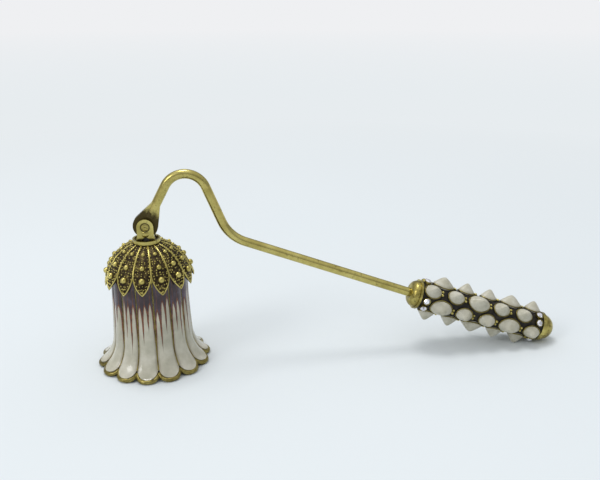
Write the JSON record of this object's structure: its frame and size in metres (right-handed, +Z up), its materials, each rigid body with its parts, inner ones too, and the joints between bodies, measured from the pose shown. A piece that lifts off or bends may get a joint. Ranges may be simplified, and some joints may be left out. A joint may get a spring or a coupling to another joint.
{
  "type": "candle snuffer",
  "caption": "Candle snuffer with a flared petal bell hinged to a swan-neck brass rod and a handle covered in pointed enamel studs.",
  "frame": {"origin": "centre of the bounding box at the height of the table that the bell's rim and the handle rest on", "axes": "+Z up, +X from the bell towards the handle, +Y along the hinge pin away from the side shown in the picture"},
  "size_m": [0.2045, 0.048, 0.0844],
  "materials": {
    "brass": "antiqued satin brass with brighter edges",
    "dark_brass": "brass with a dark oxidised patina",
    "white_enamel": "glossy off-white enamel with a pearly sheen",
    "stud_enamel": "satin cream-white enamel",
    "steel": "plain machined steel",
    "crystal": "clear faceted glass"
  },
  "bodies": {
    "handle": {"end_cap": "brass", "end_crystal_settings": "brass", "end_crystals": "crystal", "ferrule": "brass", "front_crystal_settings": "brass", "front_crystals": "crystal", "handle_core": "dark_brass", "stud_row_1": "stud_enamel", "stud_row_2": "stud_enamel", "stud_row_3": "stud_enamel", "stud_row_4": "stud_enamel", "stud_row_5": "stud_enamel", "stud_row_6": "stud_enamel", "swan_neck_rod": "brass"},
    "bell": {"bell_shell": "brass", "calyx_beads_lower": "brass", "calyx_beads_middle": "brass", "calyx_beads_upper": "brass", "calyx_cap": "dark_brass", "crown_screw": "steel", "crown_washer": "steel", "hinge_collar": "brass", "hinge_pin": "brass", "petal_enamel_01": "white_enamel", "petal_enamel_02": "white_enamel", "petal_enamel_03": "white_enamel", "petal_enamel_04": "white_enamel", "petal_enamel_05": "white_enamel", "petal_enamel_06": "white_enamel", "petal_enamel_07": "white_enamel", "petal_enamel_08": "white_enamel", "petal_enamel_09": "white_enamel", "petal_enamel_10": "white_enamel", "petal_enamel_11": "white_enamel", "petal_enamel_12": "white_enamel", "petal_enamel_13": "white_enamel", "petal_enamel_14": "white_enamel"}
  },
  "joints": [
    {"name": "bell_swing", "type": "hinge", "parent": "handle", "child": "bell", "pos_m": [-0.07841, 0, 0.0611], "axis": [0, 1, 0], "range_deg": [-50, 132]}
  ]
}
